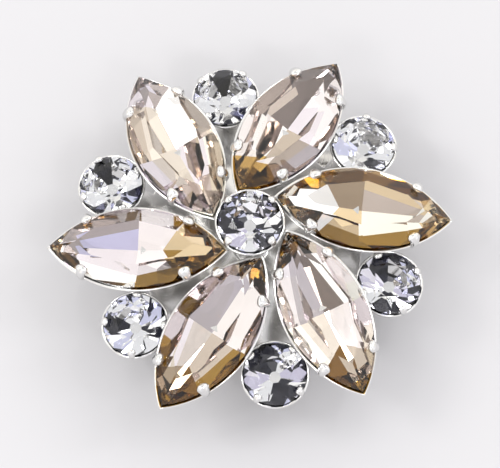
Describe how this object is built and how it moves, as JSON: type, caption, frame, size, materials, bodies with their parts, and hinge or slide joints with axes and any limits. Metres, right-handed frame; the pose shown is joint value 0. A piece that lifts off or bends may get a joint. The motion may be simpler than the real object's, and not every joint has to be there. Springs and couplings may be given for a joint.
{
  "type": "shoe clip",
  "caption": "Clip-on shoe ornament: a domed pinwheel flower of champagne boat-shaped stones with clear round stones between them, in silver claw cups on a sprung clasp.",
  "frame": {"origin": "middle of the whole clip in plan, at the underside of the closed clasp that it lies on", "axes": "+Z out of the flower's face; +X near the first petal, along the clip's longest side; +Y towards the clasp's hinge, so the clasp opens towards -Y"},
  "size_m": [0.0346, 0.031, 0.0116],
  "materials": {
    "silver_plate": "polished bright silver plate on cast and pressed metal",
    "clasp_steel": "nickel-plated spring steel, lightly brushed",
    "champagne_glass": "cut champagne glass with a mirror foil back",
    "clear_glass": "cut clear glass with a mirror foil back"
  },
  "bodies": {
    "root": {"claw_setting": "silver_plate", "shoe_clasp": "clasp_steel", "petal_stone_1": "champagne_glass", "petal_stone_2": "champagne_glass", "petal_stone_3": "champagne_glass", "petal_stone_4": "champagne_glass", "petal_stone_5": "champagne_glass", "petal_stone_6": "champagne_glass", "outer_stone_1": "clear_glass", "outer_stone_2": "clear_glass", "outer_stone_3": "clear_glass", "outer_stone_4": "clear_glass", "outer_stone_5": "clear_glass", "outer_stone_6": "clear_glass", "centre_stone": "clear_glass"}
  },
  "joints": []
}
